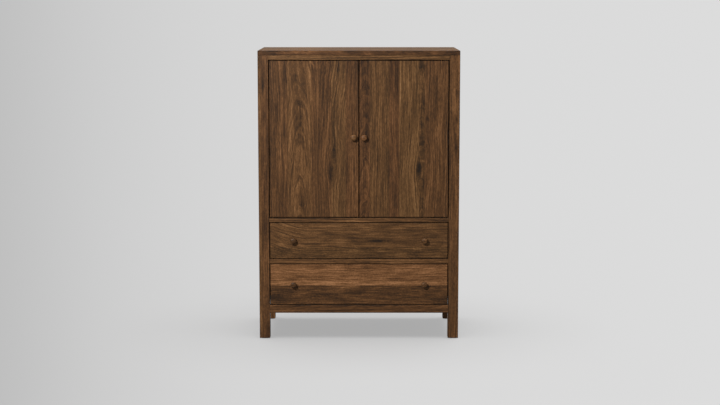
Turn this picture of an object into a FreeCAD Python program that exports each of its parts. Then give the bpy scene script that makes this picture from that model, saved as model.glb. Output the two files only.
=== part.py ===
import FreeCAD, Part
import math
import os

# Television armoire in walnut: four posts, framed sides, a two-door compartment over two drawers.
# Millimetres, +Z up. X runs to the right seen from the front, Y runs to the back.
# The origin is on the floor, under the middle of the whole outline, knobs included.

# Overall sizes
WIDTH = 1016.0
DEPTH = 533.0
POST_SIZE = 53.0
TOP_THICKNESS = 22.0
EDGE_CHAMFER = 1.2

# Front elevation, from the floor up
LEG_CLEARANCE = 134.0
BOTTOM_RAIL_HEIGHT = 41.0
LOWER_OPENING_HEIGHT = 214.0
DRAWER_RAIL_HEIGHT = 25.0
UPPER_OPENING_HEIGHT = 188.0
DOOR_RAIL_HEIGHT = 23.0
DOOR_OPENING_HEIGHT = 799.0
TOP_RAIL_HEIGHT = 24.0

# Frame joinery
BOTTOM_RAIL_DEPTH = 25.0
TENON_SHOULDER = 6.0
TENON_LENGTH = 22.0
SOCKET_SLACK = 1.0
SIDE_TOP_RAIL_HEIGHT = 45.0
SIDE_PANEL_RECESS = 8.0
SIDE_PANEL_THICKNESS = 10.0
SIDE_TENON_LIP = 6.0
PANEL_GROOVE = 6.0
PANEL_SLACK = 1.0
REAR_RAIL_HEIGHT = 45.0
REAR_RAIL_THICKNESS = 22.0
BACK_PANEL_THICKNESS = 6.0
BACK_PANEL_SETBACK = 2.0
BACK_REBATE = 10.0
PANEL_FIT = 0.5
CABLE_HOLE_RADIUS = 32.0
CABLE_HOLE_FROM_CENTRE = 250.0
CABLE_HOLE_ABOVE_FLOOR = 330.0
GLIDE_SIZE = 32.0
GLIDE_THICKNESS = 3.0

# Compartment floor and shelf
FLOOR_THICKNESS = 18.0
FLOOR_TONGUE_LENGTH = 6.0
FLOOR_TONGUE_THICKNESS = 8.0
FLOOR_CLEAT_SIZE = 20.0
SHELF_THICKNESS = 20.0
SHELF_DOOR_CLEARANCE = 5.0
SHELF_END_GAP = 2.0
SHELF_REAR_GAP = 4.0
SHELF_HEIGHT = 176.0
SHELF_CLEAT_SIZE = 20.0

# Doors and their knife hinges
DOOR_THICKNESS = 20.0
DOOR_GAP = 4.0
DOOR_SWEEP_MARGIN = 5.0
LEAF_LENGTH = 55.0
LEAF_WIDTH = 13.0
LEAF_THICKNESS = 3.0
LEAF_FIT = 0.2
HINGE_PIN_RADIUS = 3.0
HINGE_PIN_CLEARANCE = 0.05
HINGE_COLLAR_RADIUS = 5.0
HINGE_RUNNING_GAP = 0.2
CATCH_FROM_CENTRE = 60.0
CATCH_WIDTH = 44.0
CATCH_DEPTH = 15.0
CATCH_HEIGHT = 14.0
CATCH_GAP = 0.3
STRIKE_WIDTH = 32.0
STRIKE_HEIGHT = 11.0
STRIKE_THICKNESS = 1.2
STRIKE_BELOW_EDGE = 2.0

# Knobs, turned with a tenon
KNOB_RADIUS = 16.0
KNOB_PROJECTION = 25.0
KNOB_RIM_HEIGHT = 14.0
KNOB_DOME_BANDS = 2
KNOB_NECK_RADIUS = 7.5
KNOB_NECK_HEIGHT = 9.0
KNOB_TENON_RADIUS = 5.0
KNOB_TENON_FIT = 0.05
DOOR_KNOB_FROM_EDGE = 24.0
DOOR_KNOB_HEIGHT = 404.5
DRAWER_KNOB_FROM_END = 118.5

# Drawers
DRAWER_GAP = 3.5
DRAWER_FRONT_THICKNESS = 20.0
DRAWER_BOX_LIFT = 14.0
DRAWER_BOX_HEADROOM = 22.0
DRAWER_WALL = 14.0
DRAWER_REAR_CLEARANCE = 28.0
DRAWER_BOTTOM_THICKNESS = 6.0
DRAWER_BOTTOM_LIFT = 12.0
DRAWER_GROOVE = 6.0
DRAWER_BOTTOM_SLACK = 1.0
DOVETAIL_PITCH = 44.0
DOVETAIL_PIN_WIDTH = 9.0
DOVETAIL_SLOPE = 1.0 / 7.0

# Telescopic drawer slides, three members to a side
SLIDE_THICKNESS = 12.7
SLIDE_HEIGHT = 45.0
SLIDE_SHEET = 1.2
SLIDE_SETBACK = 5.0
SLIDE_BALL_RADIUS = 2.2
SLIDE_BALL_SEAT = 0.5
SLIDE_RUNNING_GAP = 0.3
SLIDE_WEB_GAP = 0.8
SLIDE_CLEAT_HEIGHT = 50.0

# Levels
Z_LOWER_OPENING = LEG_CLEARANCE + BOTTOM_RAIL_HEIGHT
Z_DRAWER_RAIL = Z_LOWER_OPENING + LOWER_OPENING_HEIGHT
Z_UPPER_OPENING = Z_DRAWER_RAIL + DRAWER_RAIL_HEIGHT
Z_DOOR_RAIL = Z_UPPER_OPENING + UPPER_OPENING_HEIGHT
Z_DOOR_OPENING = Z_DOOR_RAIL + DOOR_RAIL_HEIGHT
Z_TOP_RAIL = Z_DOOR_OPENING + DOOR_OPENING_HEIGHT
Z_TOP = Z_TOP_RAIL + TOP_RAIL_HEIGHT
HEIGHT = Z_TOP + TOP_THICKNESS
Z_FLOOR = Z_DOOR_OPENING - FLOOR_THICKNESS
Z_REAR_MIDDLE = Z_FLOOR - REAR_RAIL_HEIGHT
Z_BACK_JOINT = Z_FLOOR - REAR_RAIL_HEIGHT / 2
Z_SHELF = Z_DOOR_OPENING + SHELF_HEIGHT
Z_DOOR_BOTTOM = Z_DOOR_OPENING + DOOR_GAP
Z_DOOR_TOP = Z_TOP_RAIL - DOOR_GAP

# Planes across the width, measured from the middle, and along the depth
X_OUTER = WIDTH / 2
X_OPENING = X_OUTER - POST_SIZE
X_PANEL_OUTER = X_OUTER - SIDE_PANEL_RECESS
X_PANEL_INNER = X_PANEL_OUTER - SIDE_PANEL_THICKNESS
X_SIDE_TENON = X_PANEL_INNER - SIDE_TENON_LIP
X_BOX = X_OPENING - SLIDE_THICKNESS
Y_FRONT = (KNOB_PROJECTION - DEPTH) / 2
Y_BACK = Y_FRONT + DEPTH
Y_POST_REAR = Y_FRONT + POST_SIZE
Y_REAR_POST = Y_BACK - POST_SIZE
Y_BACK_PANEL = Y_BACK - BACK_PANEL_SETBACK - BACK_PANEL_THICKNESS
Y_REAR_RAIL = Y_BACK_PANEL - REAR_RAIL_THICKNESS
Y_DOOR_REAR = Y_FRONT + DOOR_THICKNESS
Y_BOX_FRONT = Y_FRONT + DRAWER_FRONT_THICKNESS
Y_BOX_REAR = Y_REAR_RAIL - DRAWER_REAR_CLEARANCE
Y_SLIDE_FRONT = Y_BOX_FRONT + SLIDE_SETBACK

# The hinge pin stands far enough in from the door's edge for the front corner to clear the post.
Y_HINGE = Y_FRONT + DOOR_THICKNESS / 2
HINGE_INSET = ((DOOR_THICKNESS / 2) ** 2 - DOOR_GAP**2) / (2 * DOOR_GAP) + DOOR_SWEEP_MARGIN
X_HINGE = X_OPENING - DOOR_GAP - HINGE_INSET

# The shelf stays behind the corner of the door that swings inwards.
Y_SHELF = Y_HINGE + math.hypot(HINGE_INSET, DOOR_THICKNESS / 2) + SHELF_DOOR_CLEARANCE

LEFT, RIGHT = -1, 1
SIDES = {"left": LEFT, "right": RIGHT}


# Basic shapes

def vector(x, y, z):
    return FreeCAD.Vector(x, y, z)


def block(xs, ys, zs):
    """A box between two planes on each axis, given in either order."""
    low = [min(pair) for pair in (xs, ys, zs)]
    size = [abs(pair[1] - pair[0]) for pair in (xs, ys, zs)]
    return Part.makeBox(*size, vector(*low))


def prism(points, along):
    """A closed polygon pushed along a vector."""
    outline = Part.makePolygon(points + points[:1])
    return Part.Face(outline).extrude(along)


def cylinder(radius, start, along):
    return Part.makeCylinder(radius, along.Length, start, along)


def eight_sided_bar(radius, start, along):
    """A bar along Y or Z with eight flats, each at the radius from its middle line."""
    across = vector(0, 0, 1) if along.z == 0 else vector(0, 1, 0)
    corner = radius / math.cos(math.pi / 8)
    angles = [math.pi / 8 + i * math.pi / 4 for i in range(8)]
    ring = [vector(corner * math.cos(a), 0, 0) + across * (corner * math.sin(a)) for a in angles]
    return prism([start + spoke for spoke in ring], along)


def eased(shape, is_eased=lambda middle: True):
    """Takes the sharpness off the edges whose middle point passes the test."""
    edges = [e for e in shape.Edges if is_eased(e.CenterOfMass)]
    return shape.makeChamfer(EDGE_CHAMFER, edges)


def near(a, b):
    return abs(a - b) < 1e-6


def fused(first, *others):
    return first.fuse(list(others)).removeSplitter()


# Frame: rails with tenons, and posts cut to take them

def front_rails():
    """Each front rail's height range and depth range."""
    full_depth = (Y_FRONT, Y_POST_REAR)
    return {
        "top_front_rail": ((Z_TOP_RAIL, Z_TOP), full_depth),
        "door_rail": ((Z_DOOR_RAIL, Z_DOOR_OPENING), full_depth),
        "drawer_rail": ((Z_DRAWER_RAIL, Z_UPPER_OPENING), full_depth),
        "bottom_front_rail": (
            (LEG_CLEARANCE, Z_LOWER_OPENING),
            (Y_FRONT, Y_FRONT + BOTTOM_RAIL_DEPTH),
        ),
    }


def rear_rails():
    depth = (Y_REAR_RAIL, Y_BACK_PANEL)
    return {
        "rear_top_rail": ((Z_TOP - REAR_RAIL_HEIGHT, Z_TOP), depth),
        "rear_middle_rail": ((Z_REAR_MIDDLE, Z_FLOOR), depth),
        "rear_bottom_rail": ((LEG_CLEARANCE, LEG_CLEARANCE + REAR_RAIL_HEIGHT), depth),
    }


def side_rails():
    """Each side rail's height range and the height range of its tenons."""
    top = (Z_TOP - SIDE_TOP_RAIL_HEIGHT, Z_TOP)
    bottom = (LEG_CLEARANCE, Z_LOWER_OPENING)
    past_groove = TENON_SHOULDER + PANEL_GROOVE
    return {
        "top_side_rail": (top, (top[0] + past_groove, top[1] - TENON_SHOULDER)),
        "bottom_side_rail": (bottom, (bottom[0] + TENON_SHOULDER, bottom[1] - past_groove)),
    }


def inset(pair, by):
    return pair[0] + by, pair[1] - by


def cross_tenon(side, zs, ys, length):
    """The tenon at one end of a rail that runs across the front or back."""
    return block(
        (side * X_OPENING, side * (X_OPENING + length)),
        inset(ys, TENON_SHOULDER),
        inset(zs, TENON_SHOULDER),
    )


def side_tenon(side, at_front, tenon_zs, length):
    """The tenon at one end of a side rail."""
    face = Y_POST_REAR if at_front else Y_REAR_POST
    way = -1 if at_front else 1
    xs = inset((X_SIDE_TENON, X_OUTER), TENON_SHOULDER)
    return block([side * x for x in xs], (face, face + way * length), tenon_zs)


def cross_rail(zs, ys, eased_levels=()):
    """A rail across the opening with a tenon at each end, its front edges eased at the given levels."""
    body = block((-X_OPENING, X_OPENING), ys, zs)
    if eased_levels:
        body = eased(body, lambda p: near(p.y, Y_FRONT) and any(near(p.z, z) for z in eased_levels))
    tenons = [cross_tenon(side, zs, ys, TENON_LENGTH) for side in SIDES.values()]
    return fused(body, *tenons)


def side_panel_space(side, groove):
    """The room for a side panel, reaching into the grooves around it."""
    return block(
        (side * X_PANEL_INNER, side * X_PANEL_OUTER),
        (Y_POST_REAR - groove, Y_REAR_POST + groove),
        (Z_LOWER_OPENING - groove, Z_TOP - SIDE_TOP_RAIL_HEIGHT + groove),
    )


def side_rail(side, zs, tenon_zs):
    """A rail as thick as the posts, grooved for the side panel, with a tenon at each end."""
    body = block((side * X_OPENING, side * X_OUTER), (Y_POST_REAR, Y_REAR_POST), zs)
    tenons = [side_tenon(side, at_front, tenon_zs, TENON_LENGTH) for at_front in (True, False)]
    return fused(body, *tenons).cut(side_panel_space(side, PANEL_GROOVE))


def back_panel_space(zs, depth, fit):
    """The room in the rebate at the back, as deep as asked from the panel's inner face."""
    reach = X_OPENING + BACK_REBATE - fit
    return block((-reach, reach), (Y_BACK_PANEL, Y_BACK_PANEL + depth), zs)


def post(side, at_front):
    """A corner post with sockets for its rails, a panel groove and, at the rear, a rebate."""
    ys = (Y_FRONT, Y_POST_REAR) if at_front else (Y_REAR_POST, Y_BACK)
    body = block((side * X_OPENING, side * X_OUTER), ys, (GLIDE_THICKNESS, Z_TOP))
    body = eased(body, lambda p: not near(p.z, Z_TOP))
    socket = TENON_LENGTH + SOCKET_SLACK
    rails = front_rails() if at_front else rear_rails()
    cuts = [cross_tenon(side, zs, depth, socket) for zs, depth in rails.values()]
    cuts += [side_tenon(side, at_front, tenon_zs, socket) for _, tenon_zs in side_rails().values()]
    cuts.append(side_panel_space(side, PANEL_GROOVE))
    if not at_front:
        cuts.append(back_panel_space((LEG_CLEARANCE, Z_TOP), BACK_PANEL_THICKNESS + BACK_PANEL_SETBACK, 0))
    return body.cut(cuts)


def build_frame():
    nodes = {}
    for side_name, side in SIDES.items():
        nodes[f"front_{side_name}_post"] = post(side, True)
        nodes[f"rear_{side_name}_post"] = post(side, False)
        for rail_name, (zs, tenon_zs) in side_rails().items():
            nodes[f"{side_name}_{rail_name}"] = side_rail(side, zs, tenon_zs)
        panel_reach = PANEL_GROOVE - PANEL_SLACK
        nodes[f"{side_name}_side_panel"] = side_panel_space(side, panel_reach)
    for rail_name, (zs, ys) in front_rails().items():
        free_levels = [z for z in zs if not near(z, Z_TOP)]
        nodes[rail_name] = cross_rail(zs, ys, free_levels)
    for rail_name, (zs, ys) in rear_rails().items():
        nodes[rail_name] = cross_rail(zs, ys)
    for at_top, side in ((at_top, side) for at_top in (True, False) for side in SIDES.values()):
        rail_name = "top_front_rail" if at_top else "door_rail"
        nodes[rail_name] = nodes[rail_name].cut(leaf_plate(side, case_leaf_levels(at_top), LEAF_FIT))
    nodes["door_rail"] = nodes["door_rail"].cut(floor_tongue(X_OPENING, FLOOR_TONGUE_LENGTH))
    nodes["top_panel"] = top_panel()
    nodes["foot_glides"] = foot_glides()
    nodes["upper_back_panel"], nodes["lower_back_panel"] = back_panels()
    return nodes


def top_panel():
    return eased(block((-X_OUTER, X_OUTER), (Y_FRONT, Y_BACK), (Z_TOP, HEIGHT)))


def foot_glides():
    """A square plastic pad under each post."""
    half = GLIDE_SIZE / 2
    pads = []
    for x in (POST_SIZE / 2 - X_OUTER, X_OUTER - POST_SIZE / 2):
        for y in (Y_FRONT + POST_SIZE / 2, Y_BACK - POST_SIZE / 2):
            pads.append(block((x - half, x + half), (y - half, y + half), (0, GLIDE_THICKNESS)))
    return Part.makeCompound(pads)


def back_panels():
    """The two panels in the rebate at the back; the upper one has the cable hole."""
    upper = back_panel_space((Z_BACK_JOINT, Z_TOP), BACK_PANEL_THICKNESS, PANEL_FIT)
    lower = back_panel_space((LEG_CLEARANCE, Z_BACK_JOINT), BACK_PANEL_THICKNESS, PANEL_FIT)
    hole_start = vector(CABLE_HOLE_FROM_CENTRE, Y_BACK_PANEL, Z_DOOR_OPENING + CABLE_HOLE_ABOVE_FLOOR)
    hole = cylinder(CABLE_HOLE_RADIUS, hole_start, vector(0, BACK_PANEL_THICKNESS, 0))
    return upper.cut(hole), lower


# Compartment behind the doors

def floor_tongue(reach, length):
    middle = Z_FLOOR + FLOOR_THICKNESS / 2
    half = FLOOR_TONGUE_THICKNESS / 2
    return block((-reach, reach), (Y_POST_REAR - length, Y_POST_REAR), (middle - half, middle + half))


def build_compartment():
    nodes = {}
    reach = X_PANEL_INNER - PANEL_FIT
    floor = block((-reach, reach), (Y_POST_REAR, Y_BACK_PANEL), (Z_FLOOR, Z_DOOR_OPENING))
    for side in SIDES.values():
        notch_xs = (side * (X_OPENING - PANEL_FIT), side * X_OUTER)
        notch_ys = (Y_REAR_POST - PANEL_FIT, Y_BACK)
        floor = floor.cut(block(notch_xs, notch_ys, (Z_FLOOR, Z_DOOR_OPENING)))
    tongue = floor_tongue(X_OPENING - PANEL_FIT, FLOOR_TONGUE_LENGTH - PANEL_FIT)
    nodes["compartment_floor"] = fused(floor, tongue)
    nodes["floor_cleats"] = Part.makeCompound([floor_cleat(side) for side in SIDES.values()])
    nodes["shelf"] = shelf()
    nodes["shelf_cleats"] = Part.makeCompound([shelf_cleat(side) for side in SIDES.values()])
    return nodes


def floor_cleat(side):
    return block(
        (side * (X_PANEL_INNER - FLOOR_CLEAT_SIZE), side * X_PANEL_INNER),
        (Y_POST_REAR, Y_REAR_POST),
        (Z_FLOOR - FLOOR_CLEAT_SIZE, Z_FLOOR),
    )


def shelf():
    reach = X_OPENING - SHELF_END_GAP
    board = block(
        (-reach, reach),
        (Y_SHELF, Y_BACK_PANEL - SHELF_REAR_GAP),
        (Z_SHELF, Z_SHELF + SHELF_THICKNESS),
    )
    return eased(board, lambda p: near(p.y, Y_SHELF) and near(p.x, 0))


def shelf_cleat(side):
    """A batten on the front and rear posts, under the end of the shelf."""
    return block(
        (side * (X_OPENING - SHELF_CLEAT_SIZE), side * X_OPENING),
        (Y_SHELF, Y_BACK_PANEL - SHELF_REAR_GAP),
        (Z_SHELF - SHELF_CLEAT_SIZE, Z_SHELF),
    )


# Doors

def case_leaf_levels(at_top):
    """Height range of the hinge leaf let into the rail above or below the doors."""
    if at_top:
        return Z_TOP_RAIL, Z_TOP_RAIL + LEAF_THICKNESS
    return Z_DOOR_OPENING - LEAF_THICKNESS, Z_DOOR_OPENING


def door_leaf_levels(at_top):
    if at_top:
        return Z_DOOR_TOP - LEAF_THICKNESS, Z_DOOR_TOP
    return Z_DOOR_BOTTOM, Z_DOOR_BOTTOM + LEAF_THICKNESS


def leaf_plate(side, zs, fit):
    """A hinge leaf with its corners cut off at the pin's end, grown all round by fit."""
    half = LEAF_WIDTH / 2 + fit
    inner = X_HINGE - LEAF_LENGTH - fit
    tip = X_HINGE + half
    corner = X_HINGE + half * math.tan(math.pi / 8)
    near_tip = half * math.tan(math.pi / 8)
    outline = [
        (inner, -half),
        (corner, -half),
        (tip, -near_tip),
        (tip, near_tip),
        (corner, half),
        (inner, half),
    ]
    points = [vector(side * x, Y_HINGE + y, zs[0]) for x, y in outline]
    return prism(points, vector(0, 0, zs[1] - zs[0]))


def case_leaf(side, at_top):
    """The fixed leaf of a knife hinge, with its pin and the collar that spaces the door."""
    zs = case_leaf_levels(at_top)
    face, way = (zs[0], -1) if at_top else (zs[1], 1)
    start = vector(side * X_HINGE, Y_HINGE, face)
    pin_length = DOOR_GAP + LEAF_THICKNESS - HINGE_RUNNING_GAP
    collar_length = DOOR_GAP - HINGE_RUNNING_GAP
    collar = eight_sided_bar(HINGE_COLLAR_RADIUS, start, vector(0, 0, way * collar_length))
    pin = cylinder(HINGE_PIN_RADIUS, start, vector(0, 0, way * pin_length))
    return fused(leaf_plate(side, zs, 0), collar, pin)


def door_leaf(side, at_top):
    zs = door_leaf_levels(at_top)
    start = vector(side * X_HINGE, Y_HINGE, zs[0])
    hole = cylinder(HINGE_PIN_RADIUS + HINGE_PIN_CLEARANCE, start, vector(0, 0, LEAF_THICKNESS))
    return leaf_plate(side, zs, 0).cut(hole)


def door(side):
    meeting = side * DOOR_GAP / 2
    hinged = side * (X_OPENING - DOOR_GAP)
    slab = eased(block((meeting, hinged), (Y_FRONT, Y_DOOR_REAR), (Z_DOOR_BOTTOM, Z_DOOR_TOP)))
    pockets = [leaf_plate(side, door_leaf_levels(at_top), LEAF_FIT) for at_top in (True, False)]
    return slab.cut(pockets + [knob_hole(*door_knob_place(side), DOOR_THICKNESS)])


def door_knob_place(side):
    x = side * (DOOR_GAP / 2 + DOOR_KNOB_FROM_EDGE)
    return x, Z_DOOR_BOTTOM + DOOR_KNOB_HEIGHT


def catch(side):
    """A magnetic catch under the top rail, just behind the closed door."""
    front = Y_DOOR_REAR + STRIKE_THICKNESS + CATCH_GAP
    middle = side * CATCH_FROM_CENTRE
    body = block(
        (middle - CATCH_WIDTH / 2, middle + CATCH_WIDTH / 2),
        (front, front + CATCH_DEPTH),
        (Z_TOP_RAIL - CATCH_HEIGHT, Z_TOP_RAIL),
    )
    return eased(body, lambda p: near(p.z, Z_TOP_RAIL - CATCH_HEIGHT))


def strike_plate(side):
    middle = side * CATCH_FROM_CENTRE
    top = Z_DOOR_TOP - STRIKE_BELOW_EDGE
    plate = block(
        (middle - STRIKE_WIDTH / 2, middle + STRIKE_WIDTH / 2),
        (Y_DOOR_REAR, Y_DOOR_REAR + STRIKE_THICKNESS),
        (top - STRIKE_HEIGHT, top),
    )
    return eased(plate, lambda p: near(p.y, Y_DOOR_REAR + STRIKE_THICKNESS / 2))


def build_doors():
    nodes = {}
    case_leaves = [case_leaf(side, at_top) for side in SIDES.values() for at_top in (True, False)]
    nodes["hinge_case_leaves"] = Part.makeCompound(case_leaves)
    nodes["door_catches"] = Part.makeCompound([catch(side) for side in SIDES.values()])
    for side_name, side in SIDES.items():
        door_leaves = [door_leaf(side, at_top) for at_top in (True, False)]
        nodes[f"{side_name}_door"] = door(side)
        nodes[f"{side_name}_door_knob"] = knob(*door_knob_place(side), DOOR_THICKNESS)
        nodes[f"{side_name}_hinge_door_leaves"] = Part.makeCompound(door_leaves)
        nodes[f"{side_name}_strike_plate"] = strike_plate(side)
    return nodes


# Knobs

def knob(x, z, board):
    """A mushroom knob turned about the Y axis, with its tenon glued through the board."""

    def at(radius, proud):
        return vector(x + radius, Y_FRONT - proud, z)

    dome_rise = KNOB_PROJECTION - KNOB_RIM_HEIGHT
    dome_radius = (KNOB_RADIUS**2 + dome_rise**2) / (2 * dome_rise)
    dome_centre = KNOB_PROJECTION - dome_radius
    rim_angle = math.atan2(KNOB_RADIUS, KNOB_RIM_HEIGHT - dome_centre)
    dome_angles = [rim_angle * band / KNOB_DOME_BANDS for band in range(KNOB_DOME_BANDS, -1, -1)]
    profile = [
        at(0, -board),
        at(KNOB_TENON_RADIUS, -board),
        at(KNOB_TENON_RADIUS, 0),
        at(KNOB_NECK_RADIUS, 0),
        at(KNOB_NECK_RADIUS, KNOB_NECK_HEIGHT),
        at(KNOB_RADIUS, KNOB_NECK_HEIGHT),
    ]
    profile += [at(dome_radius * math.sin(a), dome_centre + dome_radius * math.cos(a)) for a in dome_angles]
    outline = Part.makePolygon(profile + profile[:1])
    return Part.Face(outline).revolve(at(0, 0), vector(0, 1, 0), 360)


def knob_hole(x, z, board):
    return cylinder(KNOB_TENON_RADIUS + KNOB_TENON_FIT, vector(x, Y_FRONT, z), vector(0, board, 0))


# Drawers

DRAWERS = {
    "upper": (Z_UPPER_OPENING, UPPER_OPENING_HEIGHT),
    "lower": (Z_LOWER_OPENING, LOWER_OPENING_HEIGHT),
}


def box_levels(opening_z, opening_height):
    """Height range of a drawer box in its opening."""
    return opening_z + DRAWER_BOX_LIFT, opening_z + opening_height - DRAWER_BOX_HEADROOM


def drawer_front(zs):
    reach = X_OPENING - DRAWER_GAP
    board = eased(block((-reach, reach), (Y_FRONT, Y_BOX_FRONT), zs))
    return board.cut([knob_hole(x, z, DRAWER_FRONT_THICKNESS) for x, z in drawer_knob_places(zs)])


def drawer_knob_places(zs):
    reach = X_OPENING - DRAWER_GAP - DRAWER_KNOB_FROM_END
    return [(side * reach, sum(zs) / 2) for side in SIDES.values()]


def tails(side, at_front, zs):
    """The dovetails cut on one end of a drawer side, as one shape."""
    count = max(2, round((zs[1] - zs[0]) / DOVETAIL_PITCH))
    pitch = (zs[1] - zs[0]) / count
    end, way = (Y_BOX_FRONT, 1) if at_front else (Y_BOX_REAR, -1)
    wide = (pitch - DOVETAIL_PIN_WIDTH) / 2
    narrow = wide - DOVETAIL_SLOPE * DRAWER_WALL
    inner = side * (X_BOX - DRAWER_WALL)
    found = []
    for i in range(count):
        middle = zs[0] + (i + 0.5) * pitch
        corners = [
            vector(inner, end, middle - wide),
            vector(inner, end, middle + wide),
            vector(inner, end + way * DRAWER_WALL, middle + narrow),
            vector(inner, end + way * DRAWER_WALL, middle - narrow),
        ]
        found.append(prism(corners, vector(side * DRAWER_WALL, 0, 0)))
    return found


def drawer_bottom(zs, reach):
    """The drawer bottom, reaching past the inner faces of the four walls."""
    inner_x = X_BOX - DRAWER_WALL + reach
    low = zs[0] + DRAWER_BOTTOM_LIFT
    return block(
        (-inner_x, inner_x),
        (Y_BOX_FRONT + DRAWER_WALL - reach, Y_BOX_REAR - DRAWER_WALL + reach),
        (low, low + DRAWER_BOTTOM_THICKNESS),
    )


def box_end(at_front, zs):
    """A drawer box's front or back: its ends are the pins between the tails."""
    ys = (Y_BOX_FRONT, Y_BOX_FRONT + DRAWER_WALL) if at_front else (Y_BOX_REAR - DRAWER_WALL, Y_BOX_REAR)
    board = block((-X_BOX, X_BOX), ys, zs)
    sockets = [tail for side in SIDES.values() for tail in tails(side, at_front, zs)]
    return board.cut(sockets + [drawer_bottom(zs, DRAWER_GROOVE)])


def box_side(side, zs):
    xs = (side * (X_BOX - DRAWER_WALL), side * X_BOX)
    middle = block(xs, (Y_BOX_FRONT + DRAWER_WALL, Y_BOX_REAR - DRAWER_WALL), zs)
    ends = [tail for at_front in (True, False) for tail in tails(side, at_front, zs)]
    return fused(middle, *ends).cut(drawer_bottom(zs, DRAWER_GROOVE))


def build_drawer(name, opening_z, opening_height):
    zs = box_levels(opening_z, opening_height)
    front_zs = (opening_z + DRAWER_GAP, opening_z + opening_height - DRAWER_GAP)
    knobs = [knob(x, z, DRAWER_FRONT_THICKNESS) for x, z in drawer_knob_places(front_zs)]
    nodes = {
        f"{name}_drawer_front": drawer_front(front_zs),
        f"{name}_drawer_knobs": Part.makeCompound(knobs),
        f"{name}_drawer_box_front": box_end(True, zs),
        f"{name}_drawer_back": box_end(False, zs),
        f"{name}_drawer_bottom": drawer_bottom(zs, DRAWER_GROOVE - DRAWER_BOTTOM_SLACK),
    }
    for side_name, side in SIDES.items():
        nodes[f"{name}_drawer_{side_name}_side"] = box_side(side, zs)
        nodes[f"{name}_{side_name}_slide_cleat"] = slide_cleat(side, sum(zs) / 2)
    members = [slide_members(side, sum(zs) / 2) for side in SIDES.values()]
    for role, pair in zip(("outer", "middle", "inner"), zip(*members)):
        nodes[f"{name}_slide_{role}_members"] = Part.makeCompound(list(pair))
    return nodes


# Telescopic slides

def slide_cleat(side, middle):
    """The batten that fills the side's recess, level with the posts, to carry a slide."""
    return block(
        (side * X_OPENING, side * X_PANEL_INNER),
        (Y_POST_REAR, Y_REAR_POST),
        (middle - SLIDE_CLEAT_HEIGHT / 2, middle + SLIDE_CLEAT_HEIGHT / 2),
    )


def channel(side, web, lip, half_height, middle):
    """A folded channel along Y. Web and lip are its two depths, measured in from the post's face."""
    inside = web + math.copysign(SLIDE_SHEET, lip - web)
    section = [
        (web, -half_height),
        (lip, -half_height),
        (lip, SLIDE_SHEET - half_height),
        (inside, SLIDE_SHEET - half_height),
        (inside, half_height - SLIDE_SHEET),
        (lip, half_height - SLIDE_SHEET),
        (lip, half_height),
        (web, half_height),
    ]
    points = [vector(side * (X_OPENING - depth), Y_SLIDE_FRONT, middle + z) for depth, z in section]
    return prism(points, vector(0, Y_BOX_REAR - Y_SLIDE_FRONT, 0))


def ball_rows(side, depth, offset, middle):
    """Two rows of balls in their cages, each drawn as one bar along the slide."""
    rows = []
    for z in (middle - offset, middle + offset):
        start = vector(side * (X_OPENING - depth), Y_SLIDE_FRONT, z)
        rows.append(eight_sided_bar(SLIDE_BALL_RADIUS, start, vector(0, Y_BOX_REAR - Y_SLIDE_FRONT, 0)))
    return rows


def slide_members(side, middle):
    """The case, middle and drawer members of one slide, nested on their rows of balls."""
    outer_half = SLIDE_HEIGHT / 2
    outer_ball = outer_half - SLIDE_SHEET - SLIDE_RUNNING_GAP - SLIDE_BALL_RADIUS
    middle_half = outer_ball - SLIDE_BALL_RADIUS + SLIDE_BALL_SEAT
    inner_ball = middle_half - SLIDE_SHEET + SLIDE_BALL_SEAT - SLIDE_BALL_RADIUS
    inner_half = inner_ball - SLIDE_BALL_RADIUS - SLIDE_RUNNING_GAP
    middle_web = SLIDE_SHEET + SLIDE_WEB_GAP
    middle_lip = SLIDE_THICKNESS - SLIDE_SHEET - SLIDE_WEB_GAP
    inner_lip = middle_web + SLIDE_SHEET + SLIDE_WEB_GAP
    outer_lip = middle_lip - SLIDE_WEB_GAP
    outer = channel(side, 0, outer_lip, outer_half, middle)
    inner = channel(side, SLIDE_THICKNESS, inner_lip, inner_half, middle)
    carrier = channel(side, middle_web, middle_lip, middle_half, middle)
    ball_depth = (middle_web + middle_lip) / 2
    rows = ball_rows(side, ball_depth, outer_ball, middle) + ball_rows(side, ball_depth, inner_ball, middle)
    return outer, fused(carrier, *rows), inner


def build_drawers():
    nodes = {}
    for name, (opening_z, opening_height) in DRAWERS.items():
        nodes.update(build_drawer(name, opening_z, opening_height))
    return nodes


def main():
    os.makedirs("parts", exist_ok=True)
    nodes = {**build_frame(), **build_compartment(), **build_doors(), **build_drawers()}
    for name, shape in nodes.items():
        shape.exportStep(f"parts/{name}.step")
    print(len(nodes), "nodes, overall", WIDTH, "x", DEPTH + KNOB_PROJECTION, "x", HEIGHT)


main()
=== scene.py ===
import math
import random

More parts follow.
